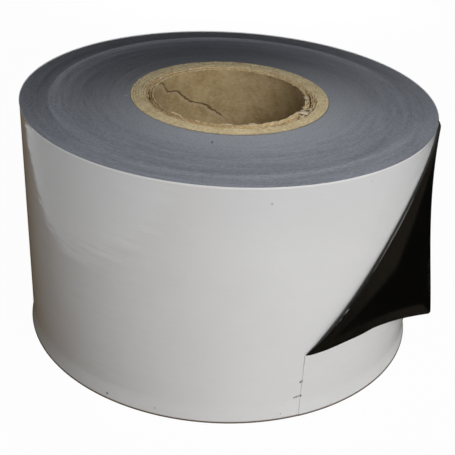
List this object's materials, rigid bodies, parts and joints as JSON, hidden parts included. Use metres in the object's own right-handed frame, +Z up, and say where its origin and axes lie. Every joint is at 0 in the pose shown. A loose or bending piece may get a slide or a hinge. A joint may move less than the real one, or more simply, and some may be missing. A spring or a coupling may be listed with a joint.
{
  "type": "roll of protective film",
  "caption": "Roll of black and white protective film on a cardboard tube, standing on end, with its upper outer corner peeled back.",
  "frame": {"origin": "centre of the tube's bore at the roll's lower end, which is the plane it stands on", "axes": "+Z up along the tube, +X to the right and +Y away from the viewer as the picture sees it, with the cut edge of the film at 66.4 degrees clockwise from +X seen from above"},
  "size_m": [0.2067, 0.2065, 0.125],
  "materials": {
    "core_board": "raw spiral-wound kraft board with a torn, fuzzy cut end",
    "film_white": "satin white face of a two-layer polyethylene film",
    "film_black": "glossy black underside of the same film"
  },
  "bodies": {
    "root": {"core": "core_board", "film_roll": "film_white"}
  },
  "joints": []
}
